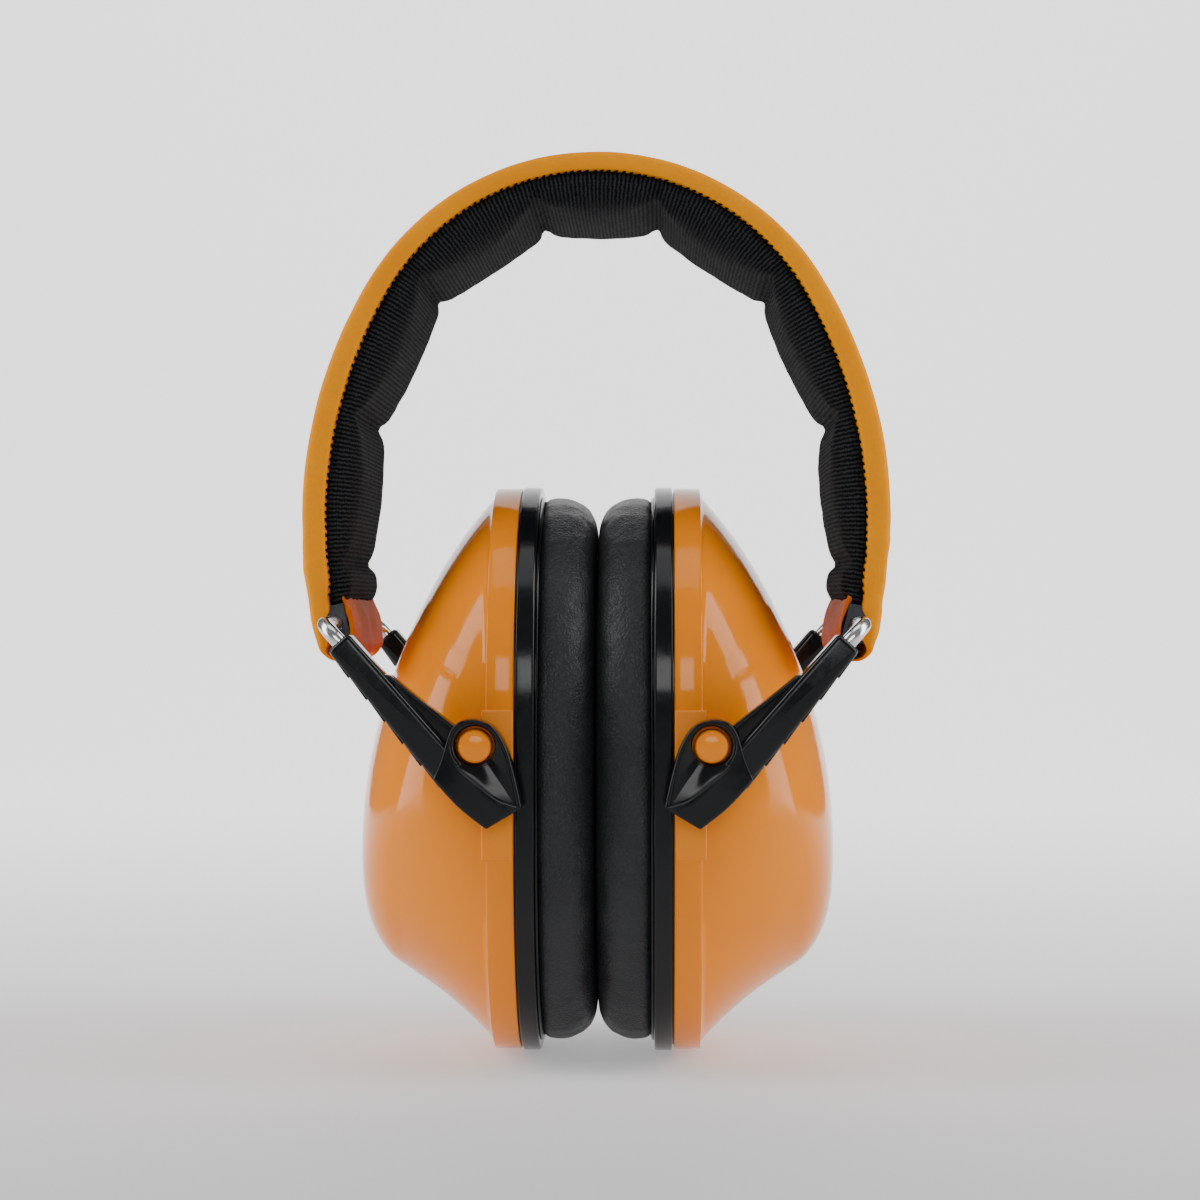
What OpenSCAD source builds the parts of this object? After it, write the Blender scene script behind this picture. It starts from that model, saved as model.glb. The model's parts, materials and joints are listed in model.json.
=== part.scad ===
// Hearing protection earmuffs: a padded arch headband, two wire yokes that fold, two pairs of sliding
// sleeves, and two tilting ear cups. Millimetres, +Z up, +X to the wearer's one side, +Y to the back.
// The origin is the head seat: the middle of the pad's inner face at the crown of the headband.
// The +X side is drawn, and the other side is its mirror image.

/* [Headband] */
// half the width across the outside of the band
band_half_w = 46.4; // [44:0.2:52]
// height of the crown above the band's widest level
band_rise = 58; // [54:0.5:64]
// radius of the limbs' outer face
side_r = 73; // [68:0.5:80]
// front-to-back width of the cover
band_w = 46; // [38:1:56]
// whole thickness of cover and pad at the crown
band_t = 8.6; // [7:0.1:11]
// how far below the widest level the cover's ends reach, in degrees round the limb
cover_end_a = 18.1; // [15:0.1:22]
// level of the pad's lower hem, in degrees below the widest level
hem_a = 11; // [9:0.5:12]

/* [Yokes] */
// diameter of the yoke wire
wire_d = 2.4; // [2:0.1:3]
// level of the fold axis below the head seat
fold_drop = 65.7; // [60:0.1:70]
// distance from the middle plane to each wire leg
leg_y = 38.2; // [36:0.2:44]
// slope of the legs below the horizontal
leg_a = 47.4; // [40:0.1:60]
// length of each leg from the fold axis
leg_len = 36.1; // [30:0.1:45]

/* [Sleeves] */
// distance along the leg from the fold axis to the sleeve's upper end
sleeve_start = 3.6; // [3.4:0.1:12]
// distance along the leg from the fold axis to the cup's tilt axis
tilt_along = 29.2; // [26:0.1:40]
// distance from the wire to the cup's tilt axis
tilt_offset = 4.6; // [4.4:0.1:7]
// thickness of the sleeve, front to back
sleeve_t = 5.4; // [4.8:0.1:7]

/* [Ear cups] */
// half the front-to-back width of the cup
cup_hw = 34.8; // [32:0.2:36]
// half the height of the cup
cup_hh = 45.95; // [42:0.1:50]
// level of the cup's middle below the head seat
cup_drop = 89.6; // [85:0.1:95]
// depth of the dome beyond the rim band
dome_depth = 22.4; // [18:0.2:28]
// wall thickness of the shell
shell_wall = 2.5; // [2:0.1:3.5]
// radius of the trunnion peg
peg_r = 2.55; // [2:0.05:3.5]
// depth of the ear cushion
cushion_t = 7.8; // [6:0.1:12]

/* [Hidden] */
$fn = 96;
skin_t = 0.9;                    // cover material
pocket_t = 5.6;                  // depth from the outer face to the flap at the ends
edge_t = 3.9;                    // width of the cover's edge, as seen from the front
side_cx = side_r - band_half_w;  // the limbs' arcs are struck from the far side of the middle
side_cz = band_t - band_rise;
crown_r = (2 * band_half_w * side_r - pow(band_half_w, 2) - pow(band_rise, 2)) / (2 * (side_r - band_rise));
crown_cz = band_t - crown_r;
join_a = asin((crown_cz - side_cz) / (side_r - crown_r));
hinge_inset = 3.4;
hinge_r = side_r - hinge_inset;
hinge_z = -fold_drop;
hinge_a = asin((hinge_z - side_cz) / hinge_r);
hinge_x = hinge_r * cos(hinge_a) - side_cx;
wire_r = wire_d / 2;
elbow_r = 3.2;
run_clear = 0.05;
ear_y = band_w / 2 - skin_t - 1.25;  // inner face of the bracket's ears
sleeve_in = leg_y - 2.8;
tilt_x = hinge_x - tilt_along * cos(leg_a) - tilt_offset * sin(leg_a);
tilt_z = hinge_z - tilt_along * sin(leg_a) + tilt_offset * cos(leg_a);
gap_mid = 0.3;                   // each cushion stands this far off the middle plane
cushion_plate_x = gap_mid + cushion_t + 0.1;
back_plate_x = cushion_plate_x + 1;
shell_x = back_plate_x + 3.1;
dome_x = shell_x + 3.3;
ear_hw = 17;                     // half the ear opening in the cushion
ear_hh = 28;
seam_crown = [15.5, 51.3];       // pad seams on the crown, degrees from the top
seam_side = [14.5, -5.75];       // pad seams on the limbs, degrees from the widest level

leather = [0.96, 0.55, 0.08];
knit = [0.06, 0.06, 0.07];
foam = [0.75, 0.73, 0.66];
steel = [0.75, 0.76, 0.78];
black = [0.03, 0.03, 0.04];
orange = [0.93, 0.4, 0.06];

// ---- helpers ----

// points along an arc; every layer turns its corners at the same angles, so that layers lie flat together
step_a = 2;
function arc_angles(a0, a1) =
    concat([a0], [for (i = [ceil((a0 + 0.01) / step_a) : floor((a1 - 0.01) / step_a)]) i * step_a], [a1]);
function arc_points(r, a0, a1) = [for (a = arc_angles(a0, a1)) [r * cos(a), r * sin(a)]];
function moved(points, x, y) = [for (p = points) [p[0] + x, p[1] + y]];
function flipped(points) = [for (i = [len(points) - 1 : -1 : 0]) points[i]];
function mirrored(points) = [for (i = [len(points) - 1 : -1 : 0]) [-points[i][0], points[i][1]]];

// one limb's face and the crown's half, at a depth below the outer face, from angle a0 up
function limb_points(depth, a0, a1) = moved(arc_points(side_r - depth, a0, a1), -side_cx, side_cz);
function half_points(depth, a0) = concat(
    limb_points(depth, a0, join_a),
    [for (a = arc_angles(join_a, 90)) if (a > join_a && a < 90)
        [(crown_r - depth) * cos(a), crown_cz + (crown_r - depth) * sin(a)]]);
function whole_points(depth, a0) =
    concat(half_points(depth, a0), [[0, crown_cz + crown_r - depth]], mirrored(half_points(depth, a0)));

module sideways(w) rotate([90, 0, 0]) linear_extrude(height = w, center = true) children();

// a layer of one limb, between two depths below the outer face
module limb_layer(outer, inner, w, a0, a1)
    sideways(w) polygon(concat(limb_points(outer, a0, a1), flipped(limb_points(inner, a0, a1))));

// a whole layer of the band, down to an angle on both limbs
module band_layer(outer, inner, w, a0)
    sideways(w) polygon(concat(whole_points(outer, a0), flipped(whole_points(inner, a0))));

module both() { children(); mirror([1, 0, 0]) children(); }
module front_and_rear() { children(); mirror([0, 1, 0]) children(); }

// the space off the rounded corners of the cover's ends
module end_corners()
    both() front_and_rear()
        translate([hinge_x - 12, 0, side_cz - side_r * sin(cover_end_a)])
            difference() {
                translate([0, band_w / 2 - 7, -4]) cube([24, 10, 11]);
                translate([-1, band_w / 2 - 7, 7]) rotate([0, 90, 0]) cylinder(h = 26, r = 7);
            }

// the frame of a leg: +X runs down the leg from the fold axis, +Z points outwards
module leg_frame()
    translate([hinge_x, 0, hinge_z]) rotate([0, 180 - leg_a, 0]) children();

// an upright oval with straight sides, drawn flat: first axis along Y, second along Z
module oval(hw, hh) {
    for (s = [-1, 1]) translate([0, s * (hh - hw)]) circle(r = hw);
    translate([-hw, hw - hh]) square([2 * hw, 2 * (hh - hw)]);
}

module cup_slab(x0, x1, hw, hh)
    translate([x0, 0, -cup_drop]) rotate([90, 0, 90]) linear_extrude(height = x1 - x0) oval(hw, hh);

module cup_ring(x0, x1, hw, hh, in_hw, in_hh)
    difference() {
        cup_slab(x0, x1, hw, hh);
        cup_slab(x0 - 1, x1 + 1, in_hw, in_hh);
    }

// one thin slice of the dome: t runs from 0 at the rim band to 1 at the outermost point
module dome_slice(t, inset) {
    round_off = 1 - sqrt(max(0, 1 - t * t));
    late = 1 - sqrt(max(0, 1 - pow(t, 4)));
    top = cup_hh - inset - 21 * t - 34 * round_off;
    bottom = -cup_hh + inset + 19 * t + 9.6 * late;
    hw = (cup_hw - inset) * (1 - 0.74 * round_off);
    hh = (top - bottom) / 2;
    r = min(hw, hh);
    translate([dome_x + t * (dome_depth - inset) - 0.1, 0, -cup_drop + (top + bottom) / 2])
        for (y = [-1, 1], z = [-1, 1])
            translate([0, y * (hw - r), z * (hh - r)]) rotate([0, 90, 0]) cylinder(h = 0.1, r = r, $fn = 72);
}

module dome(inset)
    hull() for (t = [0, 0.2, 0.4, 0.56, 0.7, 0.82, 0.91, 0.97, 1]) dome_slice(t, inset);

// ---- headband ----

// a bar with a pocket all along it: open to the pad above the hem, closed by a flap below it, and with a
// window in each edge where the yoke's wire comes out
module cover()
    color(leather) difference() {
        union() {
            band_layer(0, edge_t, band_w, -cover_end_a);
            both() limb_layer(1, pocket_t + 0.8, band_w, -cover_end_a, -hem_a - 0.3);
        }
        band_layer(skin_t, edge_t + 1, band_w - 2 * skin_t, -hem_a - 0.3);
        both() {
            limb_layer(skin_t, pocket_t, band_w - 2 * skin_t, -cover_end_a + 0.8, -hem_a);
            limb_layer(2, pocket_t, band_w + 2, -15.9, -8);
        }
        end_corners();
    }

module spring_band()
    color(steel) difference() {
        band_layer(1.6, 2.3, 24, -8.6);
        both() rivet_shanks(1.55);
    }

module pad_shape(outer, inner, w, hem, groove) {
    difference() {
        band_layer(outer, inner, w, -hem);
        both() {
            for (a = seam_crown)
                translate([0, 0, crown_cz]) rotate([0, a, 0])
                    translate([0, 0, crown_r - band_t - 0.7]) groove_bar(w, groove);
            for (a = seam_side)
                translate([-side_cx, 0, side_cz]) rotate([0, 90 - a, 0])
                    translate([0, 0, side_r - band_t - 0.7]) groove_bar(w, groove);
        }
    }
}

module groove_bar(w, r)
    rotate([90, 0, 0]) cylinder(h = w + 2, r = r, center = true);

module pad_foam()
    color(foam) pad_shape(edge_t + 0.15, band_t - 0.8, 41.6, hem_a - 0.7, 3);

module pad_knit()
    color(knit) difference() {
        pad_shape(edge_t + 0.05, band_t, 43.4, hem_a, 2.2);
        pad_shape(edge_t - 1, band_t - 0.7, 41.8, hem_a - 0.6, 2.9);
    }

module rivet_shanks(r)
    for (y = [-7, 7]) translate([-side_cx, y, side_cz]) rotate([0, 90 + 4.5, 0])
        translate([0, 0, side_r - 3.7]) cylinder(h = 2.7, r = r);

module right_bracket()
    color(steel) difference() {
        union() {
            limb_layer(2.35, 3.25, 2 * ear_y + 0.4, -12.2, -1.5);
            front_and_rear() translate([0, ear_y + 0.6, 0]) limb_layer(1.5, 5.3, 1.2, -15.8, -11.15);
        }
        rivet_shanks(1.55);
        translate([hinge_x, 0, hinge_z]) rotate([90, 0, 0])
            cylinder(h = band_w + 4, r = wire_r + run_clear, center = true);
    }

module left_bracket() mirror([1, 0, 0]) right_bracket();

module bracket_rivets()
    color(steel) both() {
        rivet_shanks(1.5);
        for (y = [-7, 7]) translate([-side_cx, y, side_cz]) rotate([0, 90 + 4.5, 0]) {
            translate([0, 0, side_r - 1.55]) cylinder(h = 0.55, r = 2.6);
            translate([0, 0, side_r - 3.8]) cylinder(h = 0.5, r = 2.6);
        }
    }

// ---- yokes ----

// side is 1 for +X and -1 for -X
module yoke_wire(side)
    color(steel) translate([side * hinge_x, 0, hinge_z]) rotate([0, 90 + side * (90 - leg_a), 0]) {
        bar = leg_y - elbow_r;
        rotate([90, 0, 0]) cylinder(h = 2 * bar, r = wire_r, center = true);
        for (end = [-1, 1]) {
            translate([elbow_r, end * bar, 0]) rotate([0, 0, 135 - end * 45]) rotate_extrude(angle = 90)
                translate([elbow_r, 0]) circle(r = wire_r);
            translate([elbow_r, end * leg_y, 0]) rotate([0, 90, 0])
                cylinder(h = leg_len - elbow_r, r = wire_r);
        }
    }

module right_yoke_wire() yoke_wire(1);
module left_yoke_wire() yoke_wire(-1);

// ---- sleeves ----

// outline of a sleeve in the leg frame: a long grip barrel, a round boss and a pointed tail
module sleeve_outline() {
    edge = 2.3;
    translate([sleeve_start, -2.7]) square([tilt_along - sleeve_start, edge + 2.7]);
    polygon([[tilt_along - 9, -2.7], [tilt_along - 3.4, -6.9], [tilt_along, -2.7]]);
    translate([tilt_along, -tilt_offset]) circle(r = 4.1);
    polygon([[tilt_along, edge], [tilt_along + 9, edge], [tilt_along + 11.2, -3.2],
             [tilt_along + 4.8, -7.3], [tilt_along + 0.9, -tilt_offset - 4], [tilt_along, -tilt_offset]]);
}

// the front sleeve lies on -Y, and the rear one is its mirror image
module front_sleeve_right()
    color(black) leg_frame() difference() {
        union() {
            translate([0, -sleeve_in, 0]) rotate([90, 0, 0]) linear_extrude(height = sleeve_t) sleeve_outline();
            for (i = [0 : 4])
                translate([sleeve_start + 1.4 + 4.4 * i, -sleeve_in - sleeve_t + 0.7, 2.1])
                    cube([4.1, sleeve_t - 1.4, 0.5]);
        }
        translate([sleeve_start - 1, -leg_y, 0]) rotate([0, 90, 0])
            cylinder(h = leg_len + 1.5 - sleeve_start, r = wire_r + run_clear);
        translate([tilt_along, -sleeve_in + 1, -tilt_offset]) rotate([90, 0, 0])
            cylinder(h = sleeve_t + 2, r = peg_r + run_clear);
        translate([tilt_along, -sleeve_in - sleeve_t + 0.7, -tilt_offset]) rotate([90, 0, 0])
            cylinder(h = 0.8, r1 = peg_r + run_clear, r2 = peg_r + 0.75);
    }

module right_front_sleeve() front_sleeve_right();
module right_rear_sleeve() mirror([0, 1, 0]) front_sleeve_right();
module left_front_sleeve() mirror([1, 0, 0]) front_sleeve_right();
module left_rear_sleeve() mirror([1, 0, 0]) mirror([0, 1, 0]) front_sleeve_right();

// ---- ear cups ----

module right_shell()
    color(orange) {
        difference() {
            union() {
                cup_slab(shell_x, dome_x, cup_hw, cup_hh);
                dome(0);
            }
            cup_slab(shell_x - 1, dome_x, cup_hw - shell_wall, cup_hh - shell_wall);
            dome(shell_wall);
        }
        front_and_rear() translate([tilt_x, cup_hw - 1.2, tilt_z]) rotate([-90, 0, 0]) {
            cylinder(h = 1.5, r = peg_r + 1.8);
            cylinder(h = sleeve_in + sleeve_t - cup_hw + 0.9, r = peg_r);
        }
    }
module left_shell() mirror([1, 0, 0]) right_shell();

module right_back_plate()
    color(black) {
        cup_ring(back_plate_x, shell_x - 0.05, cup_hw, cup_hh, ear_hw + 3, ear_hh + 3);
        cup_ring(shell_x - 0.1, shell_x + 2.6, cup_hw - shell_wall - 0.15, cup_hh - shell_wall - 0.15,
                 cup_hw - shell_wall - 2, cup_hh - shell_wall - 2);
    }
module left_back_plate() mirror([1, 0, 0]) right_back_plate();

module right_cushion_plate()
    color(black) {
        cup_ring(cushion_plate_x, back_plate_x - 0.1, cup_hw - 2.2, cup_hh - 2.2, ear_hw + 1.3, ear_hh + 1.3);
        cup_ring(back_plate_x - 0.2, back_plate_x + 2.2, ear_hw + 2.8, ear_hh + 2.8, ear_hw + 1.3, ear_hh + 1.3);
    }
module left_cushion_plate() mirror([1, 0, 0]) right_cushion_plate();

module right_cushion()
    color(black) cup_ring(gap_mid, gap_mid + cushion_t, cup_hw - 0.9, cup_hh - 1.3, ear_hw, ear_hh);
module left_cushion() mirror([1, 0, 0]) right_cushion();

module right_absorber()
    color(foam) cup_slab(dome_x - 0.4, dome_x + 7.5, ear_hw + 8, ear_hh + 3);
module left_absorber() mirror([1, 0, 0]) right_absorber();

// ---- drawing ----

cover();
spring_band();
pad_foam();
pad_knit();
left_bracket();
right_bracket();
bracket_rivets();
left_yoke_wire();
right_yoke_wire();
left_front_sleeve();
left_rear_sleeve();
right_front_sleeve();
right_rear_sleeve();
left_shell();
right_shell();
left_back_plate();
right_back_plate();
left_cushion_plate();
right_cushion_plate();
left_cushion();
right_cushion();
left_absorber();
right_absorber();
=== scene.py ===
import json
import math
import random

import bmesh
import bpy
from mathutils import Matrix, Vector, noise


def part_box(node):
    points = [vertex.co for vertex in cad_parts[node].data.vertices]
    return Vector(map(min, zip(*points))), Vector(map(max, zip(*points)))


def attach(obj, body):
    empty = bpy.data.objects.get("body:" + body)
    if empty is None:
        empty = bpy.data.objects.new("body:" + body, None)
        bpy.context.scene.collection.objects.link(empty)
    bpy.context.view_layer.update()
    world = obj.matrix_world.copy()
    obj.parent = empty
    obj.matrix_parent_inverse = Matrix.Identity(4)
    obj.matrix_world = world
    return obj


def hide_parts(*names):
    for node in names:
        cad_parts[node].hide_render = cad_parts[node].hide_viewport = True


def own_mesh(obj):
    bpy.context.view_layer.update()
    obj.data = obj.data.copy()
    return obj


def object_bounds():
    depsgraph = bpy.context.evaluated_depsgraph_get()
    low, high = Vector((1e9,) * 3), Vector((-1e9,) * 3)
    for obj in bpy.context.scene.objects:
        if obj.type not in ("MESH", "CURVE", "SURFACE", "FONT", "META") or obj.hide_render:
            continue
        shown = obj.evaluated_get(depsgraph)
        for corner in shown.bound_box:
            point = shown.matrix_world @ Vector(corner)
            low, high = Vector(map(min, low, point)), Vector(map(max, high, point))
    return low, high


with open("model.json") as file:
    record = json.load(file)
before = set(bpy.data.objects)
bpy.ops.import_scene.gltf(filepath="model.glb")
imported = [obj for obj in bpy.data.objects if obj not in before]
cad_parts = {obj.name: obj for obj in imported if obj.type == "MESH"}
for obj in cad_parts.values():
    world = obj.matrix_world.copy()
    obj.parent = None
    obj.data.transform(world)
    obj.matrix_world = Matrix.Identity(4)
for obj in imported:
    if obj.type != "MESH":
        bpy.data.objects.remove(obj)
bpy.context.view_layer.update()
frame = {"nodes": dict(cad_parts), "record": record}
random.seed(7)
MM = 0.001

# ---------------------------------------------------------------- measures, in millimetres, row frame
HALF_W, RISE, SIDE_R, BAND_T = 46.4, 58.0, 73.0, 8.6
SIDE_CX, SIDE_CZ = SIDE_R - HALF_W, BAND_T - RISE
CROWN_R = (2 * HALF_W * SIDE_R - HALF_W ** 2 - RISE ** 2) / (2 * (SIDE_R - RISE))
CROWN_CZ = BAND_T - CROWN_R
JOIN = math.asin((CROWN_CZ - SIDE_CZ) / (SIDE_R - CROWN_R))
CROWN_LEN = CROWN_R * (math.pi / 2 - JOIN)
END_ANGLE = math.radians(18.7)
BAND_END = CROWN_LEN + SIDE_R * (JOIN + END_ANGLE)
HEM = CROWN_LEN + SIDE_R * (JOIN + math.radians(11))
COVER_HW = 23.0
JOINTS = {j["name"]: j for j in frame["record"]["behaviour"]["joints"]}
TILT = Vector(JOINTS["right_tilt"]["pos_m"]) / MM
HINGE = Vector(JOINTS["right_fold"]["pos_m"]) / MM
LEG = Vector(JOINTS["right_height"]["axis"]).normalized()
OUTWARD = Vector((-LEG.z, 0, LEG.x)) * (1 if -LEG.z > 0 else -1)   # square to the leg, away from the head
TILT_ALONG = (TILT - HINGE).dot(LEG)
TILT_OFFSET = (TILT - HINGE).dot(OUTWARD)
HINGE_S = CROWN_LEN + SIDE_R * (JOIN - math.atan2(HINGE.z - SIDE_CZ, HINGE.x + SIDE_CX))
SLEEVE_START = 3.6
SHELL_LOW, SHELL_HIGH = (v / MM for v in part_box("right_shell"))
CUP_Z = (SHELL_LOW.z + SHELL_HIGH.z) / 2
CUP_HH = (SHELL_HIGH.z - SHELL_LOW.z) / 2
CUP_HW = 34.8
SHELL_X = SHELL_LOW.x
DOME_X = SHELL_X + 3.3
DOME_DEPTH = SHELL_HIGH.x - DOME_X
DOME_TOP_SLOPE, DOME_TOP_ROUND = 21.0, 34.0  # the dome's top, coming down outwards
DOME_LOW_SLOPE, DOME_LOW_ROUND = 18.2, 10.4  # its underside, with a full corner
DOME_SCOOP, DOME_SCOOP_END = 1.2, 0.8  # the hollow sweep from that corner to the rim
DOME_NARROWING = 0.74
PLATE_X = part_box("right_back_plate")[0].x / MM
CUSHION_X0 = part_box("right_cushion")[0].x / MM
CUSHION_X1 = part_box("right_cushion")[1].x / MM
EAR_HW, EAR_HH = 17.0, 28.0
SLEEVE_IN, SLEEVE_T = 35.4, 5.4


def smoothstep(a, b, x):
    t = max(0.0, min(1.0, (x - a) / (b - a)))
    return t * t * (3 - 2 * t)


# ---------------------------------------------------------------- mesh helpers
def mesh_object(name, verts, faces, smooth=True):
    mesh = bpy.data.meshes.new(name)
    mesh.from_pydata([Vector(v) * MM for v in verts], [], faces)
    mesh.validate()
    obj = bpy.data.objects.new(name, mesh)
    bpy.context.collection.objects.link(obj)
    bm = bmesh.new()
    bm.from_mesh(mesh)
    bmesh.ops.recalc_face_normals(bm, faces=bm.faces)
    bm.to_mesh(mesh)
    bm.free()
    for p in mesh.polygons:
        p.use_smooth = smooth
    return obj


def loft(name, rings, closed=False, caps=True):
    """A skin over rings of points, all of one length. closed joins the last ring to the first."""
    n = len(rings[0])
    verts = [p for ring in rings for p in ring]
    faces = []
    for i in range(len(rings) if closed else len(rings) - 1):
        a, b = i * n, ((i + 1) % len(rings)) * n
        faces += [(a + k, a + (k + 1) % n, b + (k + 1) % n, b + k) for k in range(n)]
    if caps and not closed:
        faces += [tuple(range(n)), tuple(range((len(rings) - 1) * n, len(rings) * n))]
    return mesh_object(name, verts, faces)


def apply_modifiers(obj):
    bpy.context.view_layer.update()
    graph = bpy.context.evaluated_depsgraph_get()
    mesh = bpy.data.meshes.new_from_object(obj.evaluated_get(graph))
    obj.modifiers.clear()
    obj.data = mesh
    return obj


def sharp_smooth(obj, angle=35):
    """Smooth shading that keeps edges sharper than the angle."""
    bm = bmesh.new()
    bm.from_mesh(obj.data)
    for e in bm.edges:
        e.smooth = not (len(e.link_faces) == 2 and e.calc_face_angle(0) > math.radians(angle))
    for f in bm.faces:
        f.smooth = True
    bm.to_mesh(obj.data)
    bm.free()
    return obj


def mirrored(obj, name, axes):
    """A copy mirrored across the planes square to the named axes."""
    copy = obj.copy()
    copy.data = obj.data.copy()
    copy.name = copy.data.name = name
    bpy.context.collection.objects.link(copy)
    s = Vector([-1 if a in axes else 1 for a in "xyz"])
    copy.data.transform(Matrix.Diagonal((*s, 1)))
    if len(axes) % 2:
        copy.data.flip_normals()
    return copy


def nudge(obj, amount):
    """Moves each point along its normal by amount(point), in millimetres."""
    moves = [v.normal * (amount(v.co / MM) * MM) for v in obj.data.vertices]
    for v, m in zip(obj.data.vertices, moves):
        v.co += m
    obj.data.update()


def joined(objs, name):
    bpy.ops.object.select_all(action="DESELECT")
    for o in objs:
        o.select_set(True)
    bpy.context.view_layer.objects.active = objs[0]
    bpy.ops.object.join()
    objs[0].name = objs[0].data.name = name
    return objs[0]


def rounded_loop(points, radius, steps=5):
    """A closed flat outline with its corners rounded; radius is one number or one for each corner."""
    out, n = [], len(points)
    for i, p in enumerate(points):
        r = radius[i] if isinstance(radius, (list, tuple)) else radius
        a, b, c = Vector(points[i - 1]), Vector(p), Vector(points[(i + 1) % n])
        u, v = (a - b).normalized(), (c - b).normalized()
        half = math.acos(max(-1, min(1, u.dot(v)))) / 2
        cut = min(r / max(math.tan(half), 0.05), 0.48 * (a - b).length, 0.48 * (c - b).length)
        if cut < 1e-4:
            out.append(b)
            continue
        start, end = b + u * cut, b + v * cut
        for k in range(steps + 1):
            t = k / steps
            out.append(start * (1 - t) ** 2 + b * 2 * t * (1 - t) + end * t ** 2)
    return out


def smooth_loop(points, steps=6):
    """A closed curve through the points. A point with a third value is a sharp corner."""
    pts = []
    for p in points:
        pts += [Vector(p[:2])] * (3 if len(p) > 2 else 1)
    out, n = [], len(pts)
    for i in range(n):
        a, b, c, d = pts[i - 1], pts[i], pts[(i + 1) % n], pts[(i + 2) % n]
        if (b - c).length < 1e-6:
            continue
        for k in range(steps):
            t = k / steps
            out.append(0.5 * (2 * b + (c - a) * t + (2 * a - 5 * b + 4 * c - d) * t * t
                              + (3 * b - a - 3 * c + d) * t ** 3))
    return out


def circle_loop(x, y, r, n=48):
    return [Vector((x + r * math.cos(2 * math.pi * k / n), y + r * math.sin(2 * math.pi * k / n)))
            for k in range(n)]


def plate(name, loops, y0, y1, bevel):
    """A plate cut to outlines in the leg frame (along, outwards), from y0 to y1, with rounded edges."""
    data = bpy.data.curves.new(name, "CURVE")
    data.dimensions, data.fill_mode = "2D", "BOTH"
    for loop in loops:
        s = data.splines.new("POLY")
        s.points.add(len(loop) - 1)
        for q, p in zip(s.points, loop):
            q.co = (p[0], p[1], 0, 1)
        s.use_cyclic_u = True
    data.extrude = abs(y1 - y0) / 2 - bevel
    data.bevel_depth, data.bevel_resolution, data.offset = bevel, 3, -bevel
    curve = bpy.data.objects.new(name, data)
    bpy.context.collection.objects.link(curve)
    bpy.context.view_layer.update()
    mesh = bpy.data.meshes.new_from_object(curve.evaluated_get(bpy.context.evaluated_depsgraph_get()))
    bpy.data.objects.remove(curve)
    obj = bpy.data.objects.new(name, mesh)
    bpy.context.collection.objects.link(obj)
    mid = (y0 + y1) / 2
    for v in mesh.vertices:
        u, w, y = v.co
        v.co = (HINGE + LEG * u + OUTWARD * w + Vector((0, mid + y, 0))) * MM
    bm = bmesh.new()
    bm.from_mesh(mesh)
    bmesh.ops.remove_doubles(bm, verts=bm.verts, dist=1e-6)
    bmesh.ops.recalc_face_normals(bm, faces=bm.faces)
    bm.to_mesh(mesh)
    bm.free()
    return sharp_smooth(obj)


# ---------------------------------------------------------------- the band's curve
def band_point(s, depth, y=0.0):
    """A point of the headband: s runs along its outer face from the crown, depth inwards."""
    side, s = (1 if s >= 0 else -1), abs(s)
    if s <= CROWN_LEN:
        a, cx, cz, r = math.pi / 2 - s / CROWN_R, 0.0, CROWN_CZ, CROWN_R
    else:
        a, cx, cz, r = JOIN - (s - CROWN_LEN) / SIDE_R, -SIDE_CX, SIDE_CZ, SIDE_R
    return Vector((side * (cx + (r - depth) * math.cos(a)), y, cz + (r - depth) * math.sin(a)))




def slab_ring(inner, outer, hw, r, cols=14):
    """Cross-section of a strip of leather: a flat loop with rounded edges."""
    thick = (outer - inner).length
    up = (outer - inner) / thick
    r = min(r, thick * 0.49)
    pts = []
    for k in range(cols + 1):
        pts.append(outer + Vector((0, -(hw - r) + 2 * (hw - r) * k / cols, 0)))
    for a in (25, 50, 75):
        t = math.radians(a)
        pts.append(outer - up * (r - r * math.cos(t)) + Vector((0, hw - r + r * math.sin(t), 0)))
    for a in (15, 40, 65):
        t = math.radians(a)
        pts.append(inner + up * (r - r * math.sin(t)) + Vector((0, hw - r + r * math.cos(t), 0)))
    for k in range(cols + 1):
        pts.append(inner + Vector((0, hw - r - 2 * (hw - r) * k / cols, 0)))
    for a in (65, 40, 15):
        t = math.radians(a)
        pts.append(inner + up * (r - r * math.sin(t)) + Vector((0, -(hw - r) - r * math.cos(t), 0)))
    for a in (75, 50, 25):
        t = math.radians(a)
        pts.append(outer - up * (r - r * math.cos(t)) + Vector((0, -(hw - r) - r * math.sin(t), 0)))
    return pts


def end_width(s):
    """Half the cover's width at s, with the ends' corners rounded off."""
    r = 5.5
    x = max(0.0, min(r, abs(s) - (BAND_END - r)))
    return COVER_HW - (r - math.sqrt(r * r - x * x * 0.985))


def edge(s):
    """Thickness of the cover's rolled edge, which thins over the wire and into the turn at the bottom."""
    s = abs(s)
    thick = 3.15 + 0.75 * smoothstep(5, 75, s) - 0.5 * smoothstep(HEM - 4, HEM, s)
    thick -= 1.45 * math.exp(-((s - HINGE_S) / 1.7) ** 4)
    return thick + (0.95 - thick) * smoothstep(BAND_END - 5.2, BAND_END - 2.9, s)


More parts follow.
